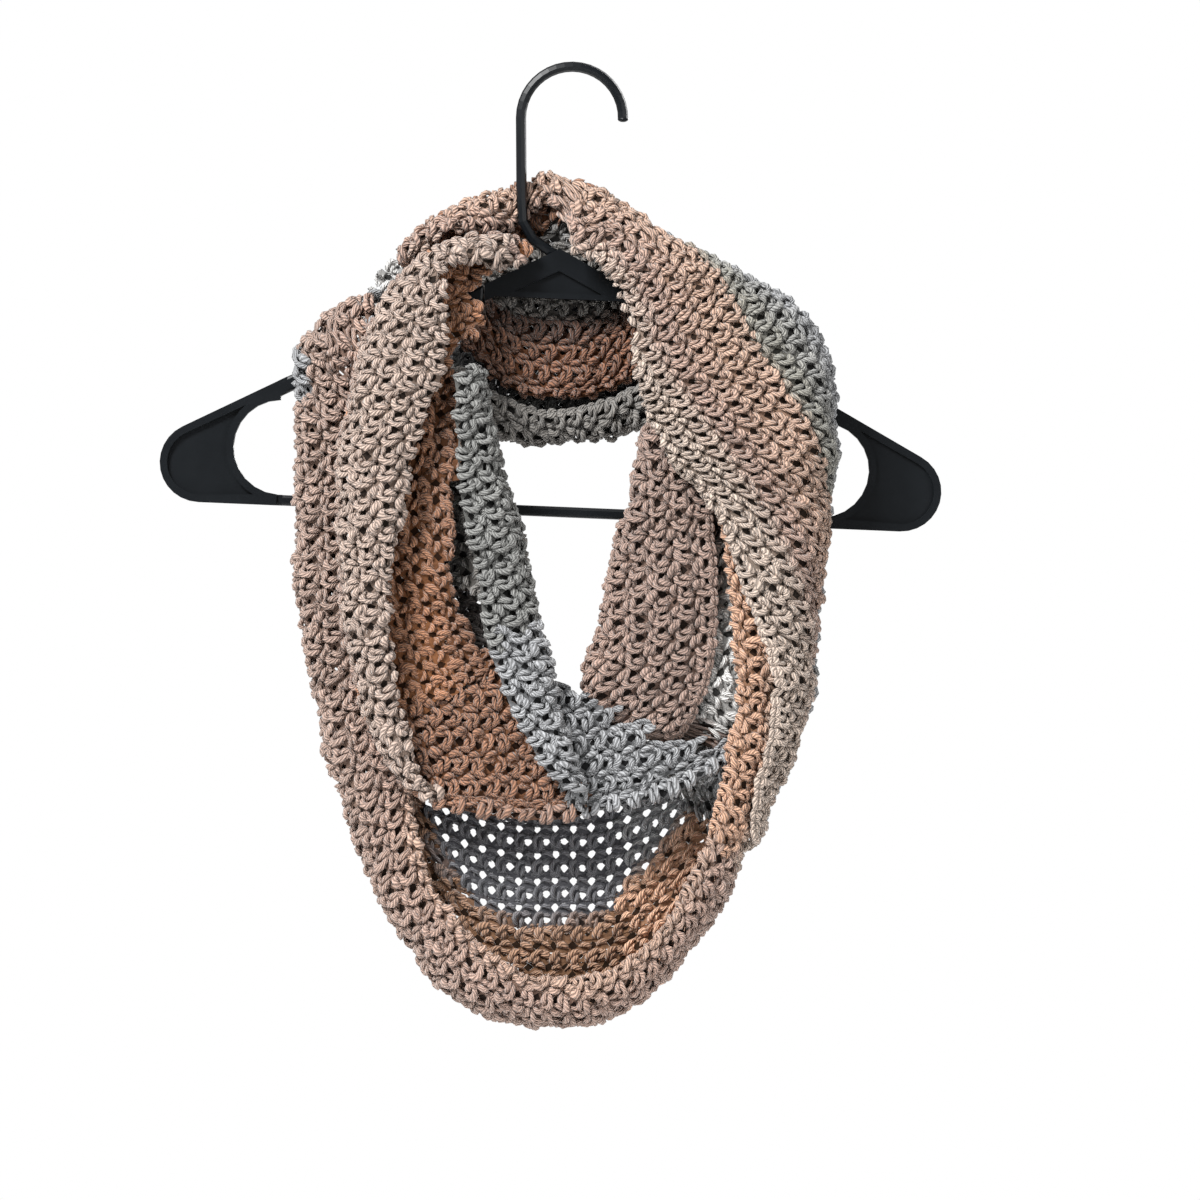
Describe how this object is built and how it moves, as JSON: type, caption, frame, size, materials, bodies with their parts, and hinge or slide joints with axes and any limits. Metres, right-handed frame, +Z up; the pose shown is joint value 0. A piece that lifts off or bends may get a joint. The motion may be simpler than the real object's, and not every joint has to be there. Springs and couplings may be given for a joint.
{
  "type": "infinity scarf on a clothes hanger",
  "caption": "Long loop of open crochet scarf, doubled and draped over a black plastic hanger, with folded edges and a neck opening.",
  "frame": {"origin": "the inner top of the hanger's hook, where it hangs on a rail", "axes": "+X to the viewer's right, +Y to the back, away from the viewer, +Z up"},
  "size_m": [0.4226, 0.0982, 0.5205],
  "materials": {
    "hanger": "black moulded plastic, soft gloss",
    "outer_left": "taupe and pinkish brown variegated cotton yarn, open crochet, matt",
    "outer_bottom": "taupe and peach variegated cotton yarn, dark grey inside, open crochet, matt",
    "outer_right": "peach variegated cotton yarn, blue-grey behind, open crochet, matt",
    "over_hook": "rose and terracotta cotton yarn, open crochet, matt",
    "right_front": "taupe, pink, peach and grey-green cotton yarn in stripes, open crochet, matt",
    "inner_left": "light beige cotton yarn, terracotta inside, open crochet, matt",
    "inner_bottom": "terracotta cotton yarn, light blue-grey at the right, open crochet, matt",
    "neck_lip": "blue-green grey cotton yarn, crochet, matt",
    "inner_right": "brown-beige cotton yarn, open crochet, matt",
    "back_neck": "grey cotton yarn, open crochet, matt",
    "back_liner": "grey, dark brown and terracotta cotton yarn in stripes, open crochet, matt"
  },
  "bodies": {
    "root": {"hanger_neck": "hanger", "hanger_bar": "hanger", "hanger_arm_left": "hanger", "hanger_arm_right": "hanger", "hanger_paddle_left": "hanger", "hanger_paddle_right": "hanger", "outer_left": "outer_left", "outer_bottom": "outer_bottom", "outer_right": "outer_right", "over_hook": "over_hook", "right_front": "right_front", "inner_left": "inner_left", "inner_bottom": "inner_bottom", "neck_lip": "neck_lip", "inner_right": "inner_right", "back_neck": "back_neck", "back_liner": "back_liner"}
  },
  "joints": []
}
